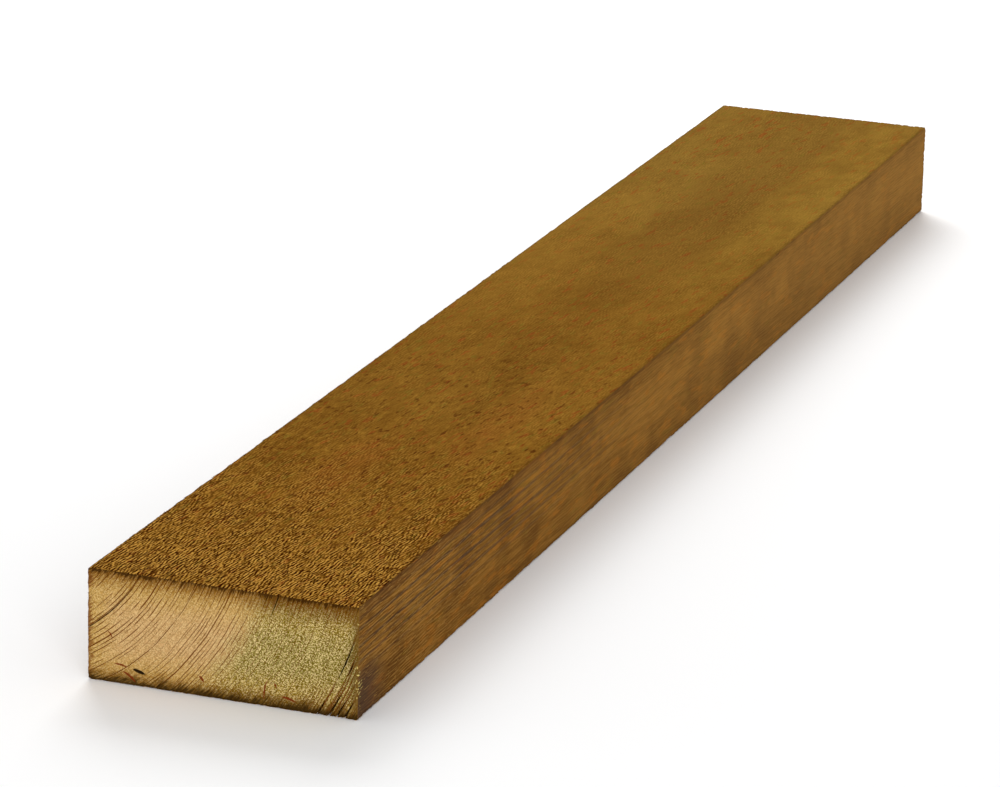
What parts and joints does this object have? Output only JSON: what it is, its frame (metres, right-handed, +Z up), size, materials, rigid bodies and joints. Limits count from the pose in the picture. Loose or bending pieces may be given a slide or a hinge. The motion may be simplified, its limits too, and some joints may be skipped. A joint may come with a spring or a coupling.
{
  "type": "timber plank",
  "caption": "Rough-sawn treated softwood plank of rectangular section with worn arrises, square crosscut ends and drying checks on its near end.",
  "frame": {"origin": "on the floor, under the middle of the plank's lower wide face", "axes": "+X across the width, +Y along the grain away from the checked end, +Z up through the thickness"},
  "size_m": [0.125, 0.9, 0.051],
  "materials": {
    "treated_timber": "rough-sawn, brown preservative stain, with paler fresh-cut end grain"
  },
  "bodies": {
    "root": {"plank": "treated_timber"}
  },
  "joints": []
}
